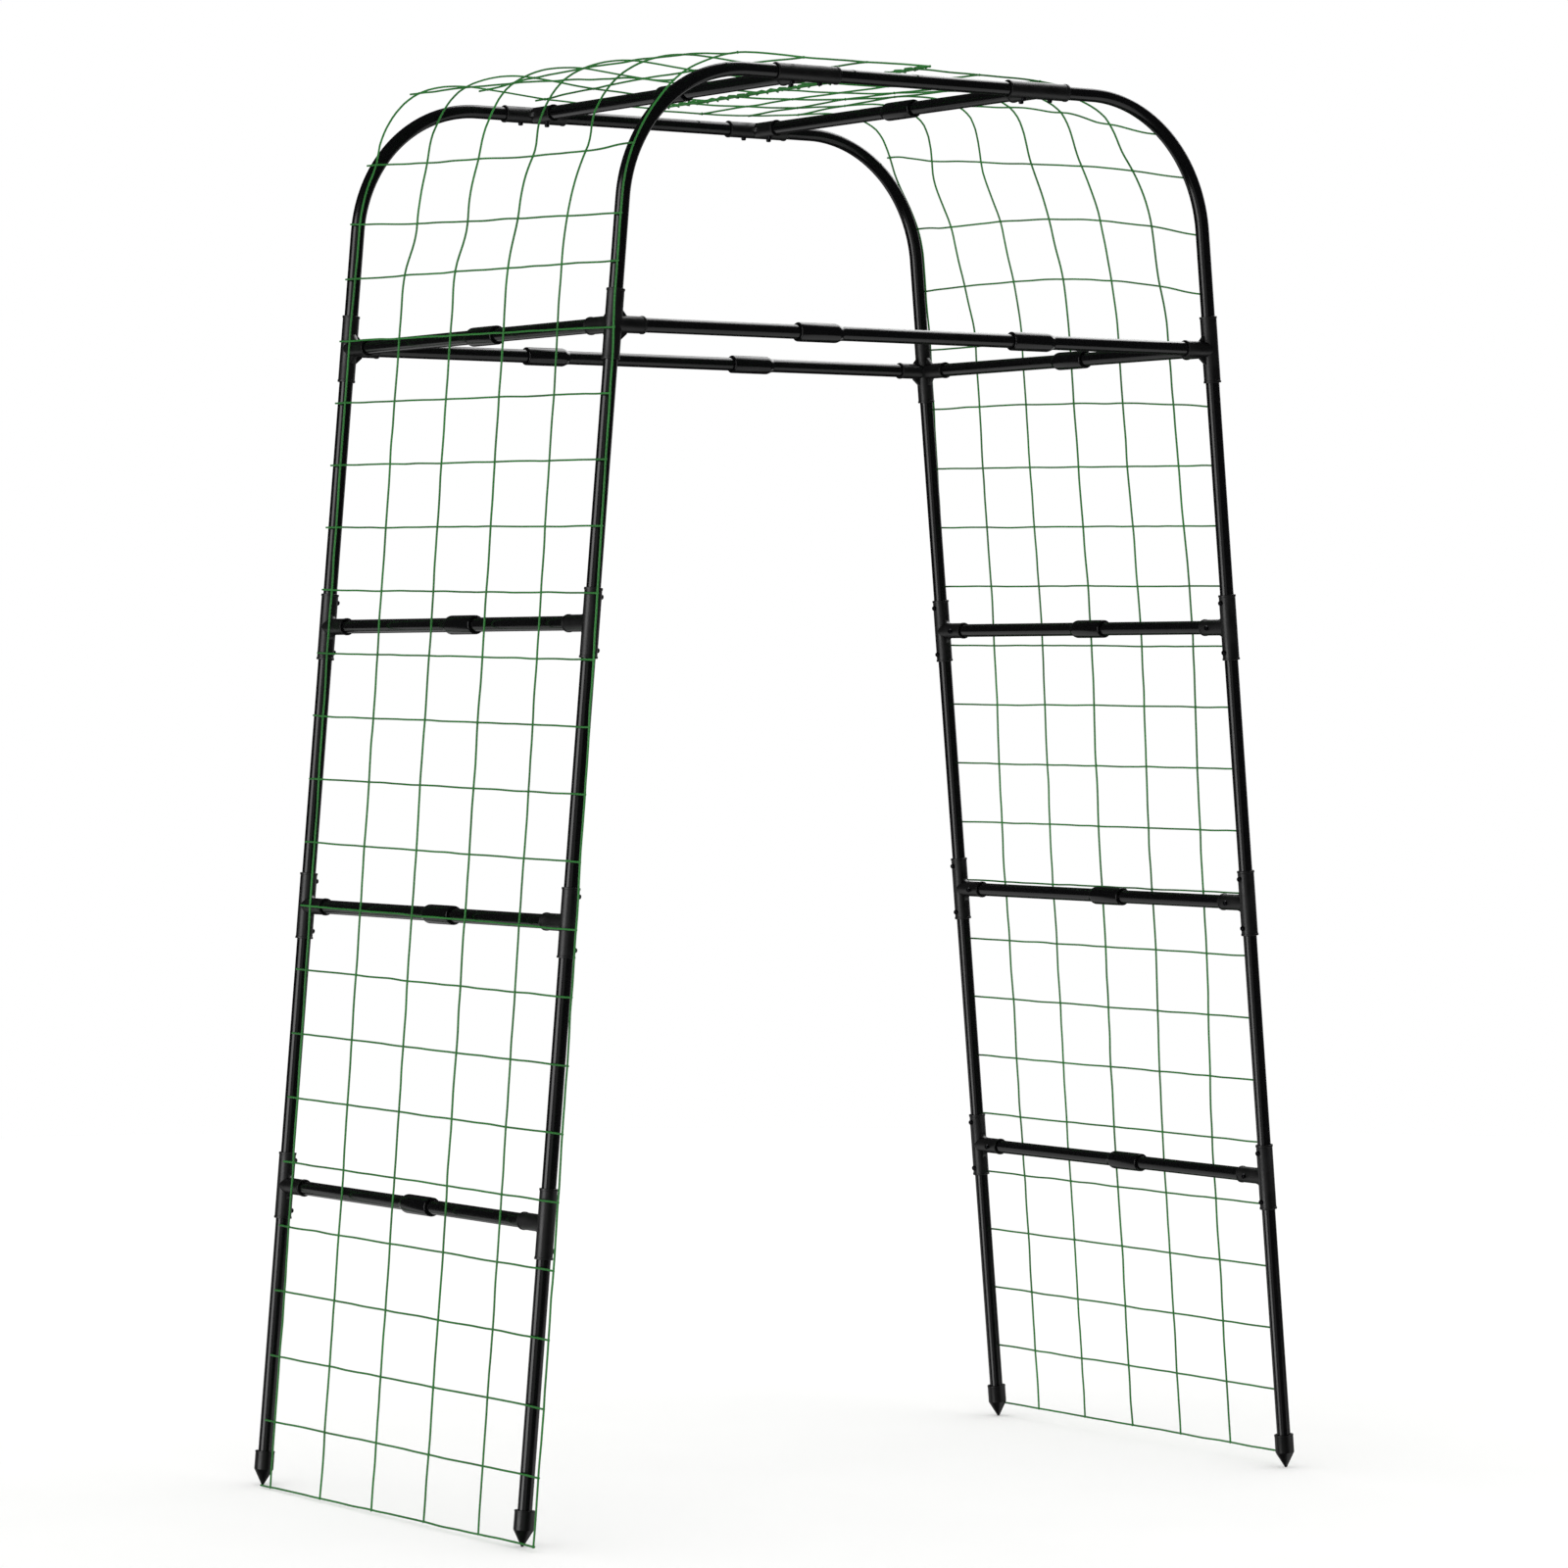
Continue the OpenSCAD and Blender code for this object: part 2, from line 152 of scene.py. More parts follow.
def at_corner(corner, matrix):
    """Takes a frame of the front right corner to another corner."""
    flip_x, flip_y = CORNERS[corner]
    return Matrix.Diagonal((flip_x, flip_y, 1, 1)) @ matrix


def on_leg(corner, at):
    """z up the leg, -x to the walkway, +y to mid-depth; at is measured from the foot's point."""
    point = Vector((SPRING.x, ARCH_Y, SPRING.z)) - LEG_UP * (LEG_LEN - at)
    side = Vector((math.cos(LEAN), 0, math.sin(LEAN)))
    return at_corner(corner, axes(side, Vector((0, 1, 0)), LEG_UP, point))


def on_top(corner):
    """At a top tee: z outwards along the top tube, -x down, +y to mid-depth."""
    point = Vector((TOP_BAR.x, ARCH_Y, TOP_BAR.z))
    return at_corner(
        corner, axes(Vector((0, 0, 1)), Vector((0, 1, 0)), Vector((1, 0, 0)), point)
    )


# Distances of a leg's three tees from the foot's point
TEES_AT = [(centre(f"front_right_rung_{level}").z - FOOT_Z) / LEG_UP.z for level in (1, 2, 3)]

# Frames that turn a shape drawn along z towards +y, or towards the level tie bar
TO_Y = axes(Vector((1, 0, 0)), Vector((0, 0, -1)), Vector((0, 1, 0)), Vector((0, 0, 0)))
TIE_AXIS = Vector((-math.cos(LEAN), 0, math.sin(LEAN)))
TO_TIE = axes(Vector((0, 1, 0)), TIE_AXIS.cross(Vector((0, 1, 0))), TIE_AXIS, Vector((0, 0, 0)))


# ---------------------------------------------------------------- shapes as (points, faces)
def outward(shell):
    """Turns a closed shell's faces outwards."""
    points, faces = shell
    volume = 0
    for face in faces:
        for b, c in zip(face[1:], face[2:]):
            volume += points[face[0]].dot(points[b].cross(points[c]))
    return shell if volume > 0 else (points, [face[::-1] for face in faces])


def placed(shell, matrix):
    """Moves a shell, and keeps its faces outwards where the frame is mirrored."""
    points, faces = shell
    if matrix.determinant() < 0:
        faces = [face[::-1] for face in faces]
    return [matrix @ point for point in points], faces


def joined(shells):
    """One list of points and faces from several shells."""
    points, faces = [], []
    for shell_points, shell_faces in shells:
        start = len(points)
        points += shell_points
        faces += [tuple(start + i for i in face) for face in shell_faces]
    return points, faces


MOST_OF_SIDE = 0.49
ON_AXIS = 1e-7


def rounded(corners, steps=4):
    """Outline through (u, v, radius) corners, each rounded by its radius. A rounding takes
    less than half of the sides that it joins."""
    outline = []
    count = len(corners)
    for i, (u, v, radius) in enumerate(corners):
        here = Vector((u, v))
        if radius == 0:
            outline.append(here)
            continue
        before = Vector(corners[i - 1][:2]) - here
        after = Vector(corners[(i + 1) % count][:2]) - here
        half = before.angle(after) / 2
        cut = min(
            radius / math.tan(half), before.length * MOST_OF_SIDE, after.length * MOST_OF_SIDE)
        start = here + before.normalized() * cut
        end = here + after.normalized() * cut
        for step in range(steps + 1):
            t = step / steps
            outline.append(start * (1 - t) ** 2 + here * 2 * t * (1 - t) + end * t * t)
    return outline


def revolved(corners, sides=56):
    """Closed shell: an outline of (radius, height, rounding) corners turned about z. The
    outline either runs from axis to axis or closes on itself."""
    outline = rounded(corners)
    points, faces, rings = [], [], []
    for radius, height in outline:
        if radius < ON_AXIS:
            rings.append([len(points)] * sides)
            points.append(Vector((0, 0, height)))
            continue
        rings.append(list(range(len(points), len(points) + sides)))
        for side in range(sides):
            angle = 2 * math.pi * side / sides
            points.append(Vector((radius * math.cos(angle), radius * math.sin(angle), height)))
    from_axis = outline[0].x < ON_AXIS
    for low, high in zip(rings, rings[1:] if from_axis else rings[1:] + rings[:1]):
        for side in range(sides):
            turn = (side + 1) % sides
            face = (low[side], low[turn], high[turn], high[side])
            faces.append(tuple(dict.fromkeys(face)))
    return outward((points, faces))


def slab(outline, thick, bevel):
    """Closed plate in the y-z plane, thick along x, with a bevel round both faces."""
    middle = sum(outline, Vector((0, 0))) / len(outline)
    inner = [point + (middle - point).normalized() * bevel for point in outline]
    layers = [
        (-thick / 2, inner),
        (-thick / 2 + bevel, outline),
        (thick / 2 - bevel, outline),
        (thick / 2, inner),
    ]
    count = len(outline)
    points = [Vector((x, y, z)) for x, ring in layers for y, z in ring]
    faces = [tuple(range(count)), tuple(range(4 * count - 1, 3 * count - 1, -1))]
    for layer in range(3):
        for i in range(count):
            j = (i + 1) % count
            low, high = layer * count, (layer + 1) * count
            faces.append((low + i, high + i, high + j, low + j))
    return outward((points, faces))


# ---------------------------------------------------------------- nodes and materials
def add(tree, kind, inputs=None, **settings):
    """Adds one node. An input is a plain value, or the output that is linked to it."""
    node = tree.nodes.new(kind)
    for name, value in settings.items():
        setattr(node, name, value)
    for key, value in (inputs or {}).items():
        if isinstance(value, bpy.types.NodeSocket):
            tree.links.new(value, node.inputs[key])
        else:
            node.inputs[key].default_value = value
    return node


def linear(colour):
    """sRGB hex to linear RGBA."""
    channels = [int(colour[i:i + 2], 16) / 255 for i in (1, 3, 5)]
    return [c / 12.92 if c <= 0.04045 else ((c + 0.055) / 1.055) ** 2.4 for c in channels] + [1]


def per_metre(millimetres):
    """Texture scale whose pattern repeats about once in the given distance."""
    return 1000 / millimetres


def blank_material(name):
    """A new material: its tree, its surface shader and its object coordinates."""
    material = bpy.data.materials.new(name)
    material.use_nodes = True
    tree = material.node_tree
    tree.nodes.clear()
    shader = add(tree, "ShaderNodeBsdfPrincipled")
    add(tree, "ShaderNodeOutputMaterial", {"Surface": shader.outputs[0]})
    where = add(tree, "ShaderNodeTexCoord").outputs["Object"]
    return material, tree, shader, where


def coated_steel():
    """Welded steel tube in a dipped black polyethylene coat. The coat gives a wet gloss that
    is broken by a faint orange peel and by duller bands where hands have rubbed it."""
    material, tree, shader, where = blank_material("black_polyethylene_coated_steel")
    shader.inputs["IOR"].default_value = 1.51
    peel = add(tree, "ShaderNodeTexNoise", {
        "Vector": where, "Scale": per_metre(5), "Detail": 1, "Roughness": 0.4})
    rubbed = add(tree, "ShaderNodeTexNoise", {
        "Vector": where, "Scale": per_metre(70), "Detail": 4, "Roughness": 0.6})
    dust = add(tree, "ShaderNodeTexNoise", {
        "Vector": where, "Scale": per_metre(1.6), "Detail": 3, "Roughness": 0.7})
    gloss = add(tree, "ShaderNodeMapRange", {
        "Value": rubbed.outputs[0], "From Min": 0.35, "From Max": 0.7,
        "To Min": 0.14, "To Max": 0.24})
    tone = add(tree, "ShaderNodeValToRGB", {"Fac": dust.outputs[0]})
    tone.color_ramp.elements[0].position = 0.45
    tone.color_ramp.elements[0].color = linear("#040405")
    tone.color_ramp.elements[1].position = 0.8
    tone.color_ramp.elements[1].color = linear("#0b0b0d")
    bump = add(tree, "ShaderNodeBump", {
        "Strength": 0.25, "Distance": 0.02 * MM, "Height": peel.outputs[0]})
    tree.links.new(tone.outputs[0], shader.inputs["Base Color"])
    tree.links.new(gloss.outputs[0], shader.inputs["Roughness"])
    tree.links.new(bump.outputs[0], shader.inputs["Normal"])
    return material


def moulded_abs():
    """Injection-moulded black ABS from a spark-eroded mould. The grain makes it duller and a
    little greyer than the tubes; it is drawn at 1.2 mm, coarser than the real 0.2 mm."""
    material, tree, shader, where = blank_material("black_spark_grain_moulded_abs")
    shader.inputs["IOR"].default_value = 1.53
    grain = add(tree, "ShaderNodeTexVoronoi", {"Vector": where, "Scale": per_metre(1.2)})
    flow = add(tree, "ShaderNodeTexNoise", {
        "Vector": where, "Scale": per_metre(25), "Detail": 3, "Roughness": 0.55})
    dull = add(tree, "ShaderNodeMapRange", {
        "Value": flow.outputs[0], "From Min": 0.3, "From Max": 0.7,
        "To Min": 0.34, "To Max": 0.46})
    tone = add(tree, "ShaderNodeValToRGB", {"Fac": flow.outputs[0]})
    tone.color_ramp.elements[0].position = 0.3
    tone.color_ramp.elements[0].color = linear("#060607")
    tone.color_ramp.elements[1].position = 0.75
    tone.color_ramp.elements[1].color = linear("#0f0f11")
    bump = add(tree, "ShaderNodeBump", {
        "Strength": 0.5, "Distance": 0.08 * MM, "Height": grain.outputs["Distance"]})
    tree.links.new(tone.outputs[0], shader.inputs["Base Color"])
    tree.links.new(dull.outputs[0], shader.inputs["Roughness"])
    tree.links.new(bump.outputs[0], shader.inputs["Normal"])
    return material


def moulded_polypropylene():
    """Injection-moulded black polypropylene. It is satin with faint flow marks, and paler
    scuffs towards the point, where it is pushed into soil."""
    material, tree, shader, where = blank_material("black_satin_moulded_polypropylene")
    shader.inputs["IOR"].default_value = 1.49
    flow = add(tree, "ShaderNodeTexNoise", {
        "Vector": where, "Scale": per_metre(14), "Detail": 4, "Roughness": 0.6})
    scratch = add(tree, "ShaderNodeTexNoise", {
        "Vector": where, "Scale": per_metre(3), "Detail": 5, "Roughness": 0.7})
    height = add(tree, "ShaderNodeSeparateXYZ", {"Vector": where})
    near_tip = add(tree, "ShaderNodeMapRange", {
        "Value": height.outputs["Z"], "From Min": 0, "From Max": 30 * MM,
        "To Min": 1, "To Max": 0})
    scuffed = add(tree, "ShaderNodeMath", {
        0: scratch.outputs[0], 1: near_tip.outputs[0]}, operation="MULTIPLY")
    tone = add(tree, "ShaderNodeValToRGB", {"Fac": scuffed.outputs[0]})
    tone.color_ramp.elements[0].position = 0.35
    tone.color_ramp.elements[0].color = linear("#060607")
    tone.color_ramp.elements[1].position = 0.65
    tone.color_ramp.elements[1].color = linear("#1b1b1d")
    dull = add(tree, "ShaderNodeMapRange", {
        "Value": flow.outputs[0], "From Min": 0.3, "From Max": 0.7,
        "To Min": 0.28, "To Max": 0.42})
    bump = add(tree, "ShaderNodeBump", {
        "Strength": 0.4, "Distance": 0.06 * MM, "Height": scratch.outputs[0]})
    tree.links.new(tone.outputs[0], shader.inputs["Base Color"])
    tree.links.new(dull.outputs[0], shader.inputs["Roughness"])
    tree.links.new(bump.outputs[0], shader.inputs["Normal"])
    return material


def black_zinc():
    """Steel screw, zinc plated and black passivated. It has a dark metal shine that goes
    blotchy where the passivate is thin."""
    material, tree, shader, where = blank_material("black_passivated_zinc_plated_steel")
    shader.inputs["Metallic"].default_value = 1
    blotch = add(tree, "ShaderNodeTexNoise", {
        "Vector": where, "Scale": per_metre(2), "Detail": 3, "Roughness": 0.6})
    tone = add(tree, "ShaderNodeValToRGB", {"Fac": blotch.outputs[0]})
    tone.color_ramp.elements[0].position = 0.35
    tone.color_ramp.elements[0].color = linear("#1d1d20")
    tone.color_ramp.elements[1].position = 0.7
    tone.color_ramp.elements[1].color = linear("#3a3a3e")
    dull = add(tree, "ShaderNodeMapRange", {
        "Value": blotch.outputs[0], "From Min": 0.3, "From Max": 0.7,
        "To Min": 0.28, "To Max": 0.45})
    bump = add(tree, "ShaderNodeBump", {
        "Strength": 0.3, "Distance": 0.02 * MM, "Height": blotch.outputs[0]})
    tree.links.new(tone.outputs[0], shader.inputs["Base Color"])
    tree.links.new(dull.outputs[0], shader.inputs["Roughness"])
    tree.links.new(bump.outputs[0], shader.inputs["Normal"])
    return material


def twisted_twine():
    """Green polyethylene twine, two plies twisted. The plies cast fine slanting shadows, and
    the green pales a little from one stretch to the next. The lay is drawn at 6 mm."""
    material, tree, shader, where = blank_material("green_twisted_polyethylene_twine")
    shader.inputs["IOR"].default_value = 1.51
    shader.inputs["Roughness"].default_value = 0.5
    lay = add(tree, "ShaderNodeSeparateXYZ", {
        0: add(tree, "ShaderNodeAttribute", attribute_name="lay").outputs["Vector"]})
    around = add(tree, "ShaderNodeMath", {
        0: lay.outputs["Z"], 1: lay.outputs["Y"]}, operation="ARCTAN2")
    along = add(tree, "ShaderNodeMath", {
        0: lay.outputs["X"], 1: 2 * math.pi * per_metre(6)}, operation="MULTIPLY")
    plies = add(tree, "ShaderNodeMath", {
        0: around.outputs[0], 1: 2, 2: along.outputs[0]}, operation="MULTIPLY_ADD")
    wave = add(tree, "ShaderNodeMath", {0: plies.outputs[0]}, operation="SINE")
    ridge = add(tree, "ShaderNodeMapRange", {
        "Value": wave.outputs[0], "From Min": -1, "From Max": 1})
    fade = add(tree, "ShaderNodeTexNoise", {
        "Vector": where, "Scale": per_metre(90), "Detail": 3, "Roughness": 0.6})
    green = add(tree, "ShaderNodeValToRGB", {"Fac": fade.outputs[0]})
    green.color_ramp.elements[0].position = 0.3
    green.color_ramp.elements[0].color = linear("#0f6f1a")
    green.color_ramp.elements[1].position = 0.75
    green.color_ramp.elements[1].color = linear("#1f8a2b")
    shaded = add(tree, "ShaderNodeMapRange", {
        "Value": ridge.outputs[0], "To Min": 0.78, "To Max": 1})
    colour = add(tree, "ShaderNodeVectorMath", {
        0: green.outputs[0], 1: shaded.outputs[0]}, operation="MULTIPLY")
    bump = add(tree, "ShaderNodeBump", {
        "Strength": 0.6, "Distance": 0.3 * MM, "Height": ridge.outputs[0]})
    tree.links.new(colour.outputs[0], shader.inputs["Base Color"])
    tree.links.new(bump.outputs[0], shader.inputs["Normal"])
    return material


def studio_floor():
    """Matt white painted board, with a tone that drifts so slightly that it reads as plain."""
    material, tree, shader, where = blank_material("white_painted_board")
    shader.inputs["Roughness"].default_value = 0.9
    shader.inputs["Specular IOR Level"].default_value = 0
    drift = add(tree, "ShaderNodeTexNoise", {"Vector": where, "Scale": per_metre(400)})
    tone = add(tree, "ShaderNodeValToRGB", {"Fac": drift.outputs[0]})
    tone.color_ramp.elements[0].color = linear("#f3f3f2")
    tone.color_ramp.elements[1].color = linear("#f7f7f6")
    tree.links.new(tone.outputs[0], shader.inputs["Base Color"])
    return material


TUBE = coated_steel()
FITTING = moulded_abs()
CAP = moulded_polypropylene()
SCREW = black_zinc()
TWINE = twisted_twine()


# ---------------------------------------------------------------- making pieces
def mesh_object(name, points, faces=(), edges=()):
    """A new object at the origin, with its place in its mesh."""
    mesh = bpy.data.meshes.new(name)
    mesh.from_pydata([tuple(point) for point in points], edges, faces)
    mesh.update()
    thing = bpy.data.objects.new(name, mesh)
    scene.collection.objects.link(thing)
    return thing


def hand_over(piece, nodes, crease=SOLID_CREASE):
    """Shades a piece and tells the frame what it rides on and what it replaces."""
    piece.data.shade_smooth()
    piece.data.set_sharp_from_angle(angle=math.radians(crease))
    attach(piece, "root")
    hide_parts(*nodes)


def solid_piece(name, shells, material, nodes):
    """One rigid piece from closed shells."""
    piece = mesh_object(name, *joined(shells))
    piece.data.materials.append(material)
    hand_over(piece, nodes)


# Plain tubes keep their exact shape and only take the coat
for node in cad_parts:
    thing = bpy.data.objects[node]
    for place in thing.material_slots:
        if place.name.startswith("tube"):
            place.material = TUBE


# ---------------------------------------------------------------- tubes with an expanded end
def expanded_tube(length):
    """Tube along z with its expanded end at z = 0, and a shoulder that runs out smoothly."""
    shoulder = []
    for step in range(1, SHOULDER_STEPS + 1):
        ease = (1 - math.cos(math.pi * step / SHOULDER_STEPS)) / 2
        radius = SLEEVE_R + (TUBE_R - SLEEVE_R) * ease
        shoulder.append((radius, SLEEVE_LEN + SLEEVE_SHOULDER * step / SHOULDER_STEPS, 0))
    return revolved([
        (BORE_R, 0, 0.7 * MM),
        (SLEEVE_R, 0, 1.4 * MM),
        (SLEEVE_R, SLEEVE_LEN, 0),
        *shoulder,
        (TUBE_R, length, 0.2 * MM),
        (TUBE_R - TUBE_WALL, length, 0.2 * MM),
        (TUBE_R - TUBE_WALL, SLEEVE_GRIP, 0.4 * MM),
        (BORE_R, SLEEVE_GRIP, 0),
    ])


EXPANDED = [
    f"back_{side}_{bar}"
    for side in ("left", "right")
    for bar in ("rung_1", "rung_2", "rung_3", "spring_bar", "top_bar")
] + ["front_right_tie", "back_right_tie", "front_middle_tie", "back_middle_tie"]

for node in EXPANDED:
    lo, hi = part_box(node)
    mouth = centre(node)
    run = 0 if "tie" in node else 1
    mouth[run] = lo[run]
    heading = Vector((1, 0, 0)) if run == 0 else Vector((0, 1, 0))
    up = Vector((0, 0, 1))
    bar = placed(expanded_tube(hi[run] - lo[run]), axes(up.cross(heading), -up, heading, mouth))
    solid_piece(f"expanded_tube_{node}", [bar], TUBE, [node])


# ---------------------------------------------------------------- socket fittings
def barrel(length):
    """Barrel along z: a blind socket from each end, with a rim round each mouth."""
    half = length / 2
    rim = BARREL_R + RIM_GROW
    upper = [
        (0, STOP_HALF, 0),
        (BORE_R, STOP_HALF, SOCKET_FILLET),
        (BORE_R, half, MOUTH_FILLET),
        (rim, half, RIM_FILLET),
        (rim, half - RIM_LEN, MOUTH_FILLET),
        (BARREL_R, half - RIM_LEN, STEP_FILLET),
    ]
    lower = [(radius, -height, fillet) for radius, height, fillet in reversed(upper)]
    return revolved(upper + lower)


def arm(reach):
    """Side arm along z from inside the barrel to its rimmed mouth."""
    rim = ARM_R + RIM_GROW
    return revolved([
        (0, ARM_ROOT, 0),
        (ARM_R, ARM_ROOT, 0),
        (ARM_R, reach - RIM_LEN, STEP_FILLET),
        (rim, reach - RIM_LEN, MOUTH_FILLET),
        (rim, reach, RIM_FILLET),
        (BORE_R, reach, MOUTH_FILLET),
        (BORE_R, ARM_FLOOR, SOCKET_FILLET),
        (0, ARM_FLOOR, 0),
    ])


def hollowed_web():
    """Web in the +y, +z corner with a quarter-round hollow."""
    side_y = BARREL_R - WEB_SINK + WEB_SIZE
    side_z = ARM_R - WEB_SINK + WEB_SIZE
    outline = [Vector((WEB_ROOT, WEB_ROOT)), Vector((side_y, WEB_ROOT))]
    for step in range(WEB_STEPS + 1):
        angle = math.radians(270 - 90 * step / WEB_STEPS)
        outline.append(Vector((
            side_y + WEB_SIZE * math.cos(angle), side_z + WEB_SIZE * math.sin(angle))))
    outline.append(Vector((WEB_ROOT, side_z)))
    return slab(outline, WEB_T, WEB_BEVEL)


def straight_web():
    """Web in the +y, +z corner with a straight edge."""
    near_y = BARREL_R - WEB_SINK
    near_z = ARM_R - WEB_SINK
    outline = [
        Vector((WEB_ROOT, WEB_ROOT)),
        Vector((near_y + WEB_SIZE, WEB_ROOT)),
        Vector((near_y + WEB_SIZE, near_z)),
        Vector((near_y, near_z + WEB_SIZE)),
        Vector((WEB_ROOT, near_z + WEB_SIZE)),
    ]
    return slab(outline, WEB_T, WEB_BEVEL)


FLIP_Z = Matrix.Diagonal((1, 1, -1, 1))
QUARTER = Matrix.Rotation(math.pi / 2, 4, "Z")


def tee(length):
    """Three-way fitting: barrel along z, arm along +y."""
    web = hollowed_web()
    return joined([barrel(length), placed(arm(ARM_REACH), TO_Y), web, placed(web, FLIP_Z)])


def four_way():
    """Four-way fitting: barrel along z, arm along +y and level arm to the walkway."""
    web = straight_web()
    parts = [
        barrel(FOUR_WAY_LEN),
        placed(arm(ARM_REACH), TO_Y),
        placed(arm(TIE_ARM_REACH), TO_TIE),
    ]
    for turn in (Matrix.Identity(4), QUARTER):
        for flip in (Matrix.Identity(4), FLIP_Z):
            parts.append(placed(web, turn @ flip))
    return joined(parts)


def foot_cap():
    """Pointed foot cap with a rimmed collar and a blind socket."""
    rim = CAP_R + RIM_GROW / 2
    return revolved([
        (0, 0, 0),
        (CAP_TIP_R, 0, 0.8 * MM),
        (CAP_R, CAP_CONE, 2.5 * MM),
        (CAP_R, CAP_LEN - CAP_RIM_LEN, 0.2 * MM),
        (rim, CAP_LEN - CAP_RIM_LEN, 0.2 * MM),
        (rim, CAP_LEN, SOCKET_FILLET),
        (BORE_R, CAP_LEN, SOCKET_FILLET),
        (BORE_R, CAP_CONE + CAP_FLOOR, SOCKET_FILLET),
        (0, CAP_CONE + CAP_FLOOR, 0),
    ])


for corner in CORNERS:
    leg_tees = [placed(tee(TEE_LEN), on_leg(corner, at)) for at in TEES_AT]
    solid_piece(f"moulded_leg_tees_{corner}", leg_tees, FITTING,
                [f"{corner}_leg_tees"])
    solid_piece(f"moulded_four_way_{corner}", [placed(four_way(), on_leg(corner, LEG_LEN))],
                FITTING, [f"{corner}_four_way_fitting"])
    solid_piece(f"moulded_top_tee_{corner}", [placed(tee(TOP_TEE_LEN), on_top(corner))],
                FITTING, [f"{corner}_top_tee"])
    solid_piece(f"pointed_cap_{corner}", [placed(foot_cap(), on_leg(corner, 0))],
                CAP, [f"{corner}_foot_cap"])


# ---------------------------------------------------------------- screws, by Geometry Nodes
def screw_head():
    """Pan head on its seat at z = 0 with a cross recess, and a short shank below."""
    sides = HEAD_SIDES
    points, faces = [], []
    for radius, height in HEAD_RINGS:
        for side in range(sides):
            angle = 2 * math.pi * side / sides
            points.append(Vector((radius * math.cos(angle), radius * math.sin(angle), height)))
    for ring in range(len(HEAD_RINGS) - 1):
        for side in range(sides):
            turn = (side + 1) % sides
            low, high = ring * sides, (ring + 1) * sides
            faces.append((low + side, low + turn, high + turn, high + side))
    faces.append(tuple(range(sides - 1, -1, -1)))
    # The cross: each quarter has its two arm corners and one inner corner
    rim = (len(HEAD_RINGS) - 1) * sides
    cross = []
    for quarter in range(4):
        turn = Matrix.Rotation(quarter * math.pi / 2, 2)
        for x, y in (
            (CROSS_REACH, -CROSS_HALF_W),
            (CROSS_REACH, CROSS_HALF_W),
            (CROSS_HALF_W, CROSS_HALF_W),
        ):
            cross.append(turn @ Vector((x, y)))
    top = len(points)
    head_top = HEAD_RINGS[-1][1]
    for height, shrink in ((head_top, 1), (head_top - CROSS_DEEP, CROSS_TAPER)):
        points += [Vector((p.x * shrink, p.y * shrink, height)) for p in cross]
    count = len(cross)
    # Top face: fans from the head's rim to the cross outline, quarter by quarter
    per_quarter = sides // 4
    for quarter in range(4):
        right, left, inner = (top + 3 * quarter + k for k in range(3))
        after = top + (3 * quarter + 3) % count
        first = quarter * per_quarter
        spokes = [rim + (first + k) % sides for k in range(per_quarter + 1)]
        faces.append((right, spokes[0], left))
        faces.append((left, spokes[0], spokes[1]))
        faces.append((left, spokes[1], spokes[2], inner))
        faces.append((inner, spokes[2], spokes[3]))
        faces.append((inner, spokes[3], spokes[4]))
        faces.append((inner, spokes[4], spokes[5], after))
        faces.append((after, spokes[5], spokes[6]))
    for i in range(count):
        j = (i + 1) % count
        faces.append((top + i, top + j, top + count + j, top + count + i))
    faces.append(tuple(range(top + count, top + 2 * count)))
    return points, faces


def screw_tree(head):
    """Sets a head on every point, turned to its facing and spun at random."""
    tree = bpy.data.node_groups.new("set_screws", "GeometryNodeTree")
    face = tree.interface
    face.new_socket("Geometry", in_out="OUTPUT", socket_type="NodeSocketGeometry")
    face.new_socket("Points", in_out="INPUT", socket_type="NodeSocketGeometry")
    sockets = {
        "size": face.new_socket("Head size", in_out="INPUT", socket_type="NodeSocketFloat"),
        "seed": face.new_socket("Spin seed", in_out="INPUT", socket_type="NodeSocketInt"),
    }
    given = add(tree, "NodeGroupInput")
    facing = add(tree, "GeometryNodeInputNamedAttribute", {"Name": "facing"},
                 data_type="FLOAT_VECTOR")
    # The random node has a pair of sockets for each data type: the decimal pair is 2 and 3
    spin = add(tree, "FunctionNodeRandomValue", {
        2: 0, 3: 2 * math.pi, "Seed": given.outputs["Spin seed"]}, data_type="FLOAT")
    turned = add(tree, "FunctionNodeAlignRotationToVector", {
        "Vector": facing.outputs[0]}, axis="Z")
    angle = add(tree, "ShaderNodeCombineXYZ", {"Z": spin.outputs[1]})
    spun = add(tree, "FunctionNodeRotateRotation", {
        0: turned.outputs[0], 1: angle.outputs[0]}, rotation_space="LOCAL")
    shape = add(tree, "GeometryNodeObjectInfo", {"Object": head})
    set_on = add(tree, "GeometryNodeInstanceOnPoints", {
        "Points": given.outputs["Points"], "Instance": shape.outputs["Geometry"],
        "Rotation": spun.outputs[0], "Scale": given.outputs["Head size"]})
    real = add(tree, "GeometryNodeRealizeInstances", {0: set_on.outputs[0]})
    dressed = add(tree, "GeometryNodeSetMaterial", {
        "Geometry": real.outputs[0], "Material": SCREW})
    add(tree, "NodeGroupOutput", {0: dressed.outputs[0]})
    return tree, sockets


def grown(thing, tree, values):
    """Runs a node tree on an object with its inputs set, and keeps the result as a mesh."""
    modifier = thing.modifiers.new("grow", "NODES")
    modifier.node_group = tree
    for socket, value in values:
        modifier[socket.identifier] = value
    ready = thing.evaluated_get(bpy.context.evaluated_depsgraph_get())
    mesh = bpy.data.meshes.new_from_object(ready)
    mesh.name = thing.name
    thing.modifiers.remove(modifier)
    thing.data = mesh


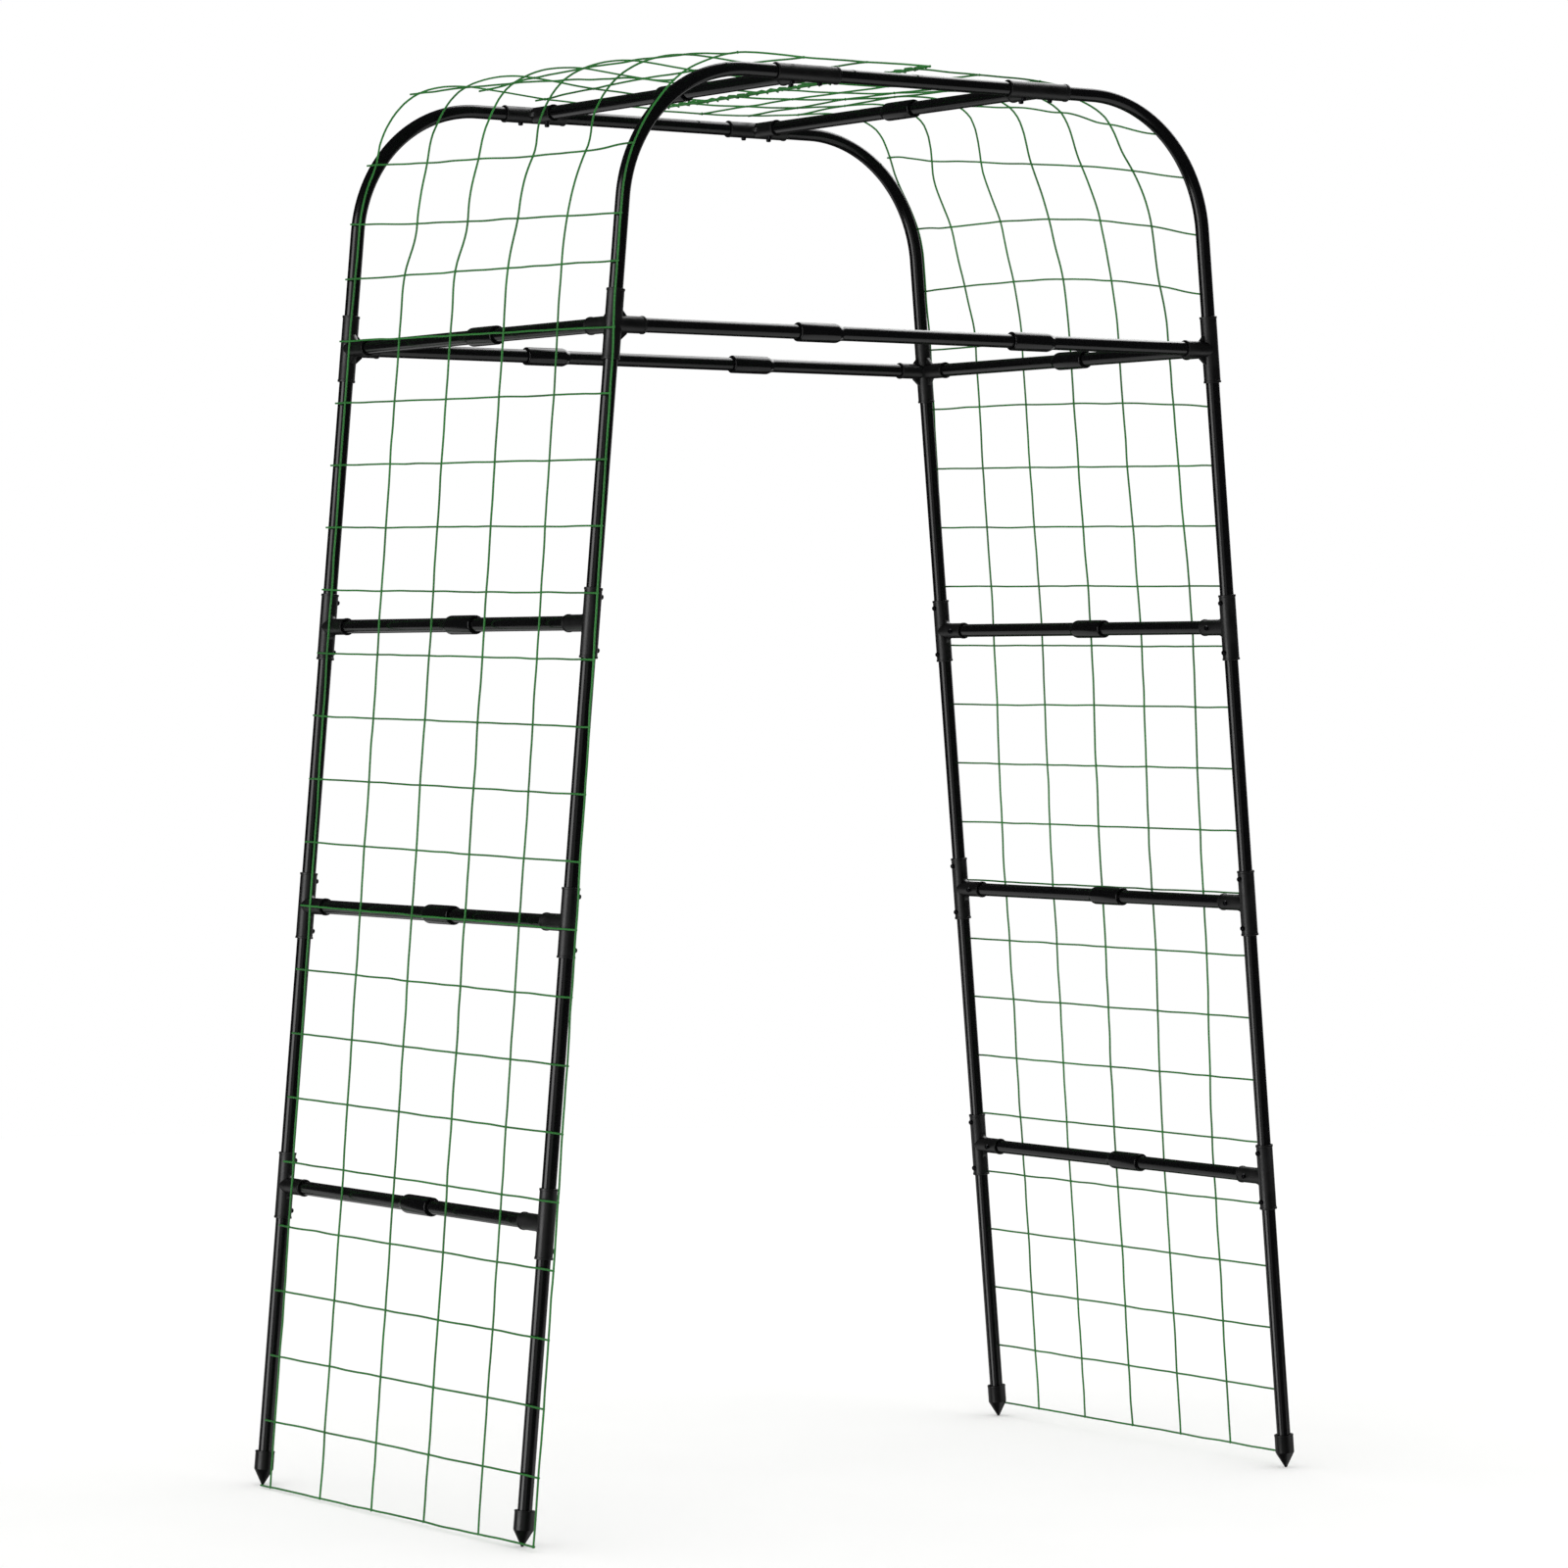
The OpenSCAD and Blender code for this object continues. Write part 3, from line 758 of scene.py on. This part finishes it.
places, facings = [], []
for corner in CORNERS:
    frames = [(on_leg(corner, at), LEG_SCREW_OFF) for at in TEES_AT]
    frames.append((on_top(corner), TOP_SCREW_OFF))
    for matrix, off in frames:
        facing = (matrix.to_3x3() @ Vector((-1, 0, 0))).normalized()
        barrel_seat = -(BARREL_R - SEAT_SINK)
        arm_seat = -(ARM_R - SEAT_SINK)
        for local in ((barrel_seat, 0, -off), (barrel_seat, 0, off), (arm_seat, ARM_SCREW_AT, 0)):
            places.append(matrix @ Vector(local))
            facings.append(facing)

screws = mesh_object("pan_head_screws", places)
facing_data = screws.data.attributes.new("facing", "FLOAT_VECTOR", "POINT")
facing_data.data.foreach_set("vector", [value for facing in facings for value in facing])
head = mesh_object("screw_head_pattern", *screw_head())
head_tree, head_sockets = screw_tree(head)
grown(screws, head_tree, [(head_sockets["size"], 1.0), (head_sockets["seed"], 11)])
bpy.data.objects.remove(head)
hand_over(screws, ["fitting_screws"])


# ---------------------------------------------------------------- nets, by Geometry Nodes
def between(table, x):
    """Value at x from (x, value) pairs with x rising: a smooth curve through every pair, level
    where the values turn back."""
    if x <= table[0][0]:
        return table[0][1]
    slopes = [(b[1] - a[1]) / (b[0] - a[0]) for a, b in zip(table, table[1:])]
    for i, ((x0, y0), (x1, y1)) in enumerate(zip(table, table[1:])):
        if x > x1:
            continue
        ends = []
        for before, after in ((i - 1, i), (i, i + 1)):
            inside = 0 <= before and after < len(slopes)
            bends = inside and slopes[before] * slopes[after] > 0
            ends.append((slopes[before] + slopes[after]) / 2 if bends else 0)
        span = x1 - x0
        t = (x - x0) / span
        return (y0 * (1 + 2 * t) * (1 - t) ** 2 + ends[0] * span * t * (1 - t) ** 2
                + y1 * t * t * (3 - 2 * t) - ends[1] * span * t * t * (1 - t))
    return table[-1][1]


def over_arch(side, at, off):
    """Point off the outside of the arch, at a distance up the leg and over the corner."""
    if at < BEND_FROM:
        x = SPRING.x + (LEG_LEN - at) * math.sin(LEAN) + off * math.cos(LEAN)
        z = SPRING.z - (LEG_LEN - at) * math.cos(LEAN) + off * math.sin(LEAN)
    elif at < BEND_FROM + BEND_ARC:
        angle = LEAN + (at - BEND_FROM) / BEND_R
        x = BEND_X + (BEND_R + off) * math.cos(angle)
        z = BEND_Z + (BEND_R + off) * math.sin(angle)
    else:
        x = BEND_X - (at - BEND_FROM - BEND_ARC)
        z = TOP_BAR.z + off
    return side * x, z


# The nets stop this far from the middle of the top, and twine laces them together there
SEAM_GAP = 4 * MM
SEAM_AT = BEND_FROM + BEND_ARC + BEND_X - SEAM_GAP

# Each net: how its strands lie along the walkway, where its rows cross the strands, and how far
# it stands off the tubes at each strand. Millimetres, by distance from the foot's point, with
# the strands from back to front. A row of two numbers runs straight from the first strand to
# the last. No strand lies nearer the front than front_edge. A row's tail hangs past the first
# strand.
NETS = {
    "right": {
        "side": 1,
        "strands": 7,
        "first": [(0, 364.6), (400, 360), (810, 360), (985, 354), (1161, 345), (1425, 341),
                  (1733, 334.4), (2310, 334.4)],
        "pitch": [(0, 112.2), (400, 112.2), (800, 116), (1160, 116), (1425, 114),
                  (1733, 111.8), (2310, 111.8)],
        "rows": [(17 + 88 * k, 17 + 88 * k - between([(10, 0), (13, 5), (16, 17), (19, 27)], k))
                 for k in range(17)]
        + [
            (1513, 1513, 1511, 1508, 1504, 1498, 1490),
            (1601, 1601, 1600, 1597, 1590, 1582, 1571),
            (1689, 1690, 1690, 1687, 1678, 1664, 1646),
            (1779, 1780, 1779, 1774, 1764, 1748, 1728),
            (1884, 1879, 1869, 1857, 1846, 1832, 1808),
            (1953, 1947, 1937, 1927, 1916, 1904, 1878),
            (2042, 2038, 2031, 2023, 2014, 2004, 1988),
            (2126, 2098),
            (2212, 2200),
        ],
        "off": [
            (0, (15, 15, 15, 15, 15, 15, 15)),
            (1610, (15, 15, 15, 15, 15, 15, 15)),
            (1680, (13, 4.3, 9.3, 12, 10.5, 5, 13)),
            (1762, (12, -10, -4, -2, 0, 0, 8)),
            (1857, (14, -4, 3, 7, 6, -3, 7)),
            (1926, (46, 50, 51, 46, 36, 17, 7)),
            (2020, (30, 34, 36, 34, 30, 16, 9)),
            (2112, (22, 25, 27, 26, 24, 17, 16)),
            (2206, (19, 20, 21, 21, 20, 19, 18)),
            (2310, (19, 19, 19, 19, 19, 19, 19)),
        ],
        "front_edge": -318,
        "tail": 6,
    },
    "left": {
        "side": -1,
        "strands": 6,
        "first": [(0, 288), (970, 302), (1490, 309), (2310, 309)],
        "pitch": [(0, 134.8), (1490, 134.4), (1700, 133), (2310, 133)],
        "rows": [(2 + 89.2 * k - 0.09 * k * k, 6 + 87.6 * k - 0.06 * k * k) for k in range(20)]
        + [(1740, 1710), (1822, 1800), (1928, 1896), (2024, 1996), (2118, 2098), (2210, 2200)],
        "off": [
            (0, (15, 15, 15, 15, 15, 15)),
            (1600, (15, 15, 15, 15, 15, 15)),
            (1660, (14, 14, 14, 14, 15, 15)),
            (1727, (13, 0, 1, 4, 10, 14)),
            (1780, (13, 3, 4, 3, 4, 14)),
            (1813, (13, 8, 7, 2, 3, 14)),
            (1855, (30, 26, 23, 21, 20, 15)),
            (1920, (44, 44, 42, 38, 32, 20)),
            (2015, (30, 34, 34, 32, 28, 20)),
            (2110, (22, 25, 26, 25, 22, 18)),
            (2206, (19, 20, 21, 20, 19, 18)),
            (2310, (19, 19, 19, 19, 19, 19)),
        ],
        "tail": 26,
    },
}
STRAND_STEP = 12 * MM
ROW_STEPS = 8


def net_point(net, strand, at):
    """Point of a net at a strand number, which may lie between two, and a distance up."""
    mm_at = at / MM
    last = net["strands"] - 1
    low = max(0, min(last - 1, math.floor(strand)))
    share = min(max(strand - low, 0), 1)
    ease = share * share * (3 - 2 * share)
    off_low = between([(s, offs[low]) for s, offs in net["off"]], mm_at)
    off_high = between([(s, offs[low + 1]) for s, offs in net["off"]], mm_at)
    off = (off_low + (off_high - off_low) * ease) * MM
    y = between(net["first"], mm_at) - strand * between(net["pitch"], mm_at)
    y = max(y, net.get("front_edge", y)) * MM
    x, z = over_arch(net["side"], at, off)
    return Vector((x, y, z))


def row_at(row, strand, last):
    """Distance up the leg at which a row crosses a strand."""
    if len(row) == 2:
        return (row[0] + (row[1] - row[0]) * strand / last) * MM
    return between(list(enumerate(row)), strand) * MM


def net_lines(net):
    """Every strand and row as a line of points, and every crossing."""
    last = net["strands"] - 1
    rows = net["rows"] + [(SEAM_AT / MM, SEAM_AT / MM)]
    lines, crossings = [], []
    for strand in range(net["strands"]):
        stops = [row_at(row, strand, last) for row in rows]
        line = []
        for start, end in zip(stops, stops[1:]):
            count = max(1, round((end - start) / STRAND_STEP))
            line += [net_point(net, strand, start + (end - start) * i / count)
                     for i in range(count)]
        lines.append(line + [net_point(net, strand, stops[-1])])
        crossings += [net_point(net, strand, stop) for stop in stops]
    for number, row in enumerate(rows):
        ends = list(range(net["strands"]))
        if number < len(rows) - 1:
            ends.insert(0, -net["tail"] / net["pitch"][0][1])
        line = []
        for start, end in zip(ends, ends[1:]):
            for i in range(ROW_STEPS):
                strand = start + (end - start) * i / ROW_STEPS
                line.append(net_point(net, strand, row_at(row, strand, last)))
        lines.append(line + [net_point(net, last, row_at(row, last, last))])
    return lines, crossings


LACING_Y = (-336 * MM, 310 * MM)
LACING_UP = 19 * MM
LACING_REACH = SEAM_GAP + 2.2 * MM
LACING_RISE = 2.6 * MM
LACING_TURNS = 26
TURN_POINTS = 10


def lacing():
    """Twine wound round the two top hems from front to back, which holds the nets together."""
    front, back = LACING_Y
    count = LACING_TURNS * TURN_POINTS
    line = []
    for i in range(count + 1):
        angle = 2 * math.pi * i / TURN_POINTS
        line.append(Vector((
            LACING_REACH * math.cos(angle),
            front + (back - front) * i / count,
            TOP_BAR.z + LACING_UP + LACING_RISE * math.sin(angle))))
    return line


# Knots are turned at random up to this angle about each axis, and scaled between these sizes
KNOT_TURN = (6.28, 6.28, 6.28)
KNOT_SMALLEST = (0.75, 0.75, 0.9)
KNOT_LARGEST = (1.0, 1.0, 1.3)


def twine_tree():
    """Turns lines into round twine that wanders a little, with a knot at each crossing."""
    tree = bpy.data.node_groups.new("knot_net", "GeometryNodeTree")
    face = tree.interface
    face.new_socket("Geometry", in_out="OUTPUT", socket_type="NodeSocketGeometry")
    face.new_socket("Lines", in_out="INPUT", socket_type="NodeSocketGeometry")
    sockets = {
        name: face.new_socket(name, in_out="INPUT", socket_type=f"NodeSocket{kind}")
        for name, kind in (
            ("Twine radius", "Float"), ("Sides", "Int"), ("Step", "Float"),
            ("Wander", "Float"), ("Wander length", "Float"),
            ("Knot radius", "Float"), ("Seed", "Int"),
        )
    }
    given = add(tree, "NodeGroupInput")

    # Wander: a slow random drift of every point, the same for a line and its knots
    place = add(tree, "GeometryNodeInputPosition")
    finer = add(tree, "ShaderNodeMath", {
        0: 1.0, 1: given.outputs["Wander length"]}, operation="DIVIDE")
    drift = add(tree, "ShaderNodeTexNoise", {
        "Vector": place.outputs[0], "W": given.outputs["Seed"], "Scale": finer.outputs[0],
        "Detail": 1}, noise_dimensions="4D")
    centred = add(tree, "ShaderNodeVectorMath", {
        0: drift.outputs["Color"], 1: (0.5, 0.5, 0.5)}, operation="SUBTRACT")
    moved = add(tree, "ShaderNodeVectorMath", {
        0: centred.outputs[0], "Scale": given.outputs["Wander"]}, operation="SCALE")

    lines = add(tree, "GeometryNodeMeshToCurve", {0: given.outputs["Lines"]})
    even = add(tree, "GeometryNodeResampleCurve", {
        "Curve": lines.outputs[0], "Length": given.outputs["Step"]}, mode="LENGTH")
    wavy = add(tree, "GeometryNodeSetPosition", {
        "Geometry": even.outputs[0], "Offset": moved.outputs[0]})
    run = add(tree, "GeometryNodeSplineParameter")
    ring = add(tree, "GeometryNodeCurvePrimitiveCircle", {
        "Resolution": given.outputs["Sides"], "Radius": given.outputs["Twine radius"]})
    round_ring = add(tree, "GeometryNodeInputPosition")
    unit = add(tree, "ShaderNodeVectorMath", {0: round_ring.outputs[0]}, operation="NORMALIZE")
    kept_run = add(tree, "GeometryNodeStoreNamedAttribute", {
        "Geometry": wavy.outputs[0], "Name": "run", "Value": run.outputs["Length"]},
        data_type="FLOAT", domain="POINT")
    kept_ring = add(tree, "GeometryNodeStoreNamedAttribute", {
        "Geometry": ring.outputs[0], "Name": "ring", "Value": unit.outputs[0]},
        data_type="FLOAT_VECTOR", domain="POINT")
    rope = add(tree, "GeometryNodeCurveToMesh", {
        "Curve": kept_run.outputs[0], "Profile Curve": kept_ring.outputs[0], "Fill Caps": True})
    read_run = add(tree, "GeometryNodeInputNamedAttribute", {"Name": "run"}, data_type="FLOAT")
    read_ring = add(tree, "GeometryNodeInputNamedAttribute", {"Name": "ring"},
                    data_type="FLOAT_VECTOR")
    ring_parts = add(tree, "ShaderNodeSeparateXYZ", {0: read_ring.outputs[0]})
    lay = add(tree, "ShaderNodeCombineXYZ", {
        "X": read_run.outputs[0], "Y": ring_parts.outputs["X"], "Z": ring_parts.outputs["Y"]})
    twisted = add(tree, "GeometryNodeStoreNamedAttribute", {
        "Geometry": rope.outputs[0], "Name": "lay", "Value": lay.outputs[0]},
        data_type="FLOAT_VECTOR", domain="POINT")

    # Knots: a lump on every marked point
    marked = add(tree, "GeometryNodeInputNamedAttribute", {"Name": "knot"}, data_type="BOOLEAN")
    dots = add(tree, "GeometryNodeMeshToPoints", {
        "Mesh": given.outputs["Lines"], "Selection": marked.outputs[0]})
    wavy_dots = add(tree, "GeometryNodeSetPosition", {
        "Geometry": dots.outputs[0], "Offset": moved.outputs[0]})
    lump = add(tree, "GeometryNodeMeshIcoSphere", {
        "Radius": given.outputs["Knot radius"], "Subdivisions": 2})
    turn = add(tree, "FunctionNodeRandomValue", {
        0: (0, 0, 0), 1: KNOT_TURN, "Seed": given.outputs["Seed"]},
        data_type="FLOAT_VECTOR")
    size = add(tree, "FunctionNodeRandomValue", {
        0: KNOT_SMALLEST, 1: KNOT_LARGEST, "Seed": given.outputs["Seed"]},
        data_type="FLOAT_VECTOR")
    knots = add(tree, "GeometryNodeInstanceOnPoints", {
        "Points": wavy_dots.outputs[0], "Instance": lump.outputs[0],
        "Rotation": turn.outputs[0], "Scale": size.outputs[0]})

    both = add(tree, "GeometryNodeJoinGeometry")
    tree.links.new(twisted.outputs[0], both.inputs[0])
    tree.links.new(knots.outputs[0], both.inputs[0])
    real = add(tree, "GeometryNodeRealizeInstances", {0: both.outputs[0]})
    dressed = add(tree, "GeometryNodeSetMaterial", {
        "Geometry": real.outputs[0], "Material": TWINE})
    add(tree, "NodeGroupOutput", {0: dressed.outputs[0]})
    return tree, sockets


net_tree, net_sockets = twine_tree()


def net_piece(name, lines, crossings, nodes, seed):
    """Knots one net from its lines and crossings."""
    points = [point for line in lines for point in line]
    edges, start = [], 0
    for line in lines:
        edges += [(start + i, start + i + 1) for i in range(len(line) - 1)]
        start += len(line)
    piece = mesh_object(name, points + crossings, edges=edges)
    knot = piece.data.attributes.new("knot", "BOOLEAN", "POINT")
    knot.data.foreach_set("value", [False] * len(points) + [True] * len(crossings))
    grown(piece, net_tree, [
        (net_sockets["Twine radius"], TWINE_R),
        (net_sockets["Sides"], 6),
        (net_sockets["Step"], 9 * MM),
        (net_sockets["Wander"], 3.2 * MM),
        (net_sockets["Wander length"], 70 * MM),
        (net_sockets["Knot radius"], 2.1 * MM),
        (net_sockets["Seed"], seed),
    ])
    for spare in ("run", "ring", "knot"):
        if spare in piece.data.attributes:
            piece.data.attributes.remove(piece.data.attributes[spare])
    hand_over(piece, nodes, crease=TWINE_CREASE)


right_lines, right_crossings = net_lines(NETS["right"])
left_lines, left_crossings = net_lines(NETS["left"])
right_lines.append(lacing())
net_piece("right_knotted_net", right_lines, right_crossings, ["right_side_net", "crown_net"], 3)
net_piece("left_knotted_net", left_lines, left_crossings, ["left_side_net"], 7)


# ---------------------------------------------------------------- camera, floor and light
def aimed(thing, place, target):
    """Puts a light or a camera at a place, looking at a target."""
    thing.location = place
    thing.rotation_euler = (Vector(target) - Vector(place)).to_track_quat("-Z", "Y").to_euler()


# The camera stands to the front left and looks a little down
EYE = Vector((-4.4126, -6.3613, 1.1055))
YAW, PITCH = math.radians(-34.790), math.radians(1.062)
LOOK = Vector((
    -math.sin(YAW) * math.cos(PITCH), math.cos(YAW) * math.cos(PITCH), -math.sin(PITCH)))
camera = bpy.data.objects.new("camera", bpy.data.cameras.new("camera"))
scene.collection.objects.link(camera)
camera.data.sensor_width = 36
camera.data.lens = 128.15
camera.data.clip_end = 100
aimed(camera, EYE, EYE + LOOK)
scene.camera = camera
scene.view_settings.view_transform = "Standard"
scene.view_settings.look = "None"

FLOOR_R = 6
FLOOR_SIDES = 96
floor_ring = []
for i in range(FLOOR_SIDES):
    angle = 2 * math.pi * i / FLOOR_SIDES
    floor_ring.append(Vector((FLOOR_R * math.cos(angle), FLOOR_R * math.sin(angle), 0)))
floor = mesh_object("floor", floor_ring, [tuple(range(FLOOR_SIDES))])
floor.data.materials.append(studio_floor())

# The room is white to the eye and lights matt surfaces evenly, but it is dark in reflections,
# so that only the softboxes shine on the gloss
world = bpy.data.worlds.new("white_room")
world.use_nodes = True
scene.world = world
air = world.node_tree
air.nodes.clear()
ray = add(air, "ShaderNodeLightPath")
seen = add(air, "ShaderNodeBackground", {"Color": (1, 1, 1, 1), "Strength": 1.0})
mirrored = add(air, "ShaderNodeBackground", {"Color": (1, 1, 1, 1), "Strength": 0.03})
filled = add(air, "ShaderNodeBackground", {"Color": (1, 1, 1, 1), "Strength": 1.14})
gloss_or_fill = add(air, "ShaderNodeMixShader", {
    0: ray.outputs["Is Diffuse Ray"], 1: mirrored.outputs[0], 2: filled.outputs[0]})
all_rays = add(air, "ShaderNodeMixShader", {
    0: ray.outputs["Is Camera Ray"], 1: gloss_or_fill.outputs[0], 2: seen.outputs[0]})
add(air, "ShaderNodeOutputWorld", {0: all_rays.outputs[0]})


MIDDLE = (0, 0, 1.0)


def softbox(name, place, width, height, radiance):
    """Rectangular softbox of a given brightness, aimed at the middle of the arch. It shines
    only on gloss: the room lights the matt surfaces."""
    light = bpy.data.lights.new(name, "AREA")
    light.shape = "RECTANGLE"
    light.size = width
    light.size_y = height
    light.energy = radiance * math.pi * width * height
    box = bpy.data.objects.new(name, light)
    scene.collection.objects.link(box)
    aimed(box, place, MIDDLE)
    box.visible_camera = False
    box.visible_diffuse = False


softbox("key_softbox", (-4.6, 0.1, 0.9), 2.8, 5.0, 3.2)
softbox("front_softbox", (-3.5, -3.3, 0.9), 2.8, 5.0, 0.3)
softbox("far_side_softbox", (4.6, 1.2, 0.9), 1.5, 5.0, 0.8)
softbox("high_softbox", (2.9, 1.4, 4.4), 3.4, 3.4, 3.6)
softbox("low_front_softbox", (2.4, -1.7, -1.7), 3.6, 3.6, 0.65)
softbox("low_back_softbox", (-0.6, 3.3, -1.1), 3.2, 3.2, 0.5)
# The low softboxes shine up through the floor, which gloss and shadows pass through
floor.visible_glossy = False
floor.visible_shadow = False
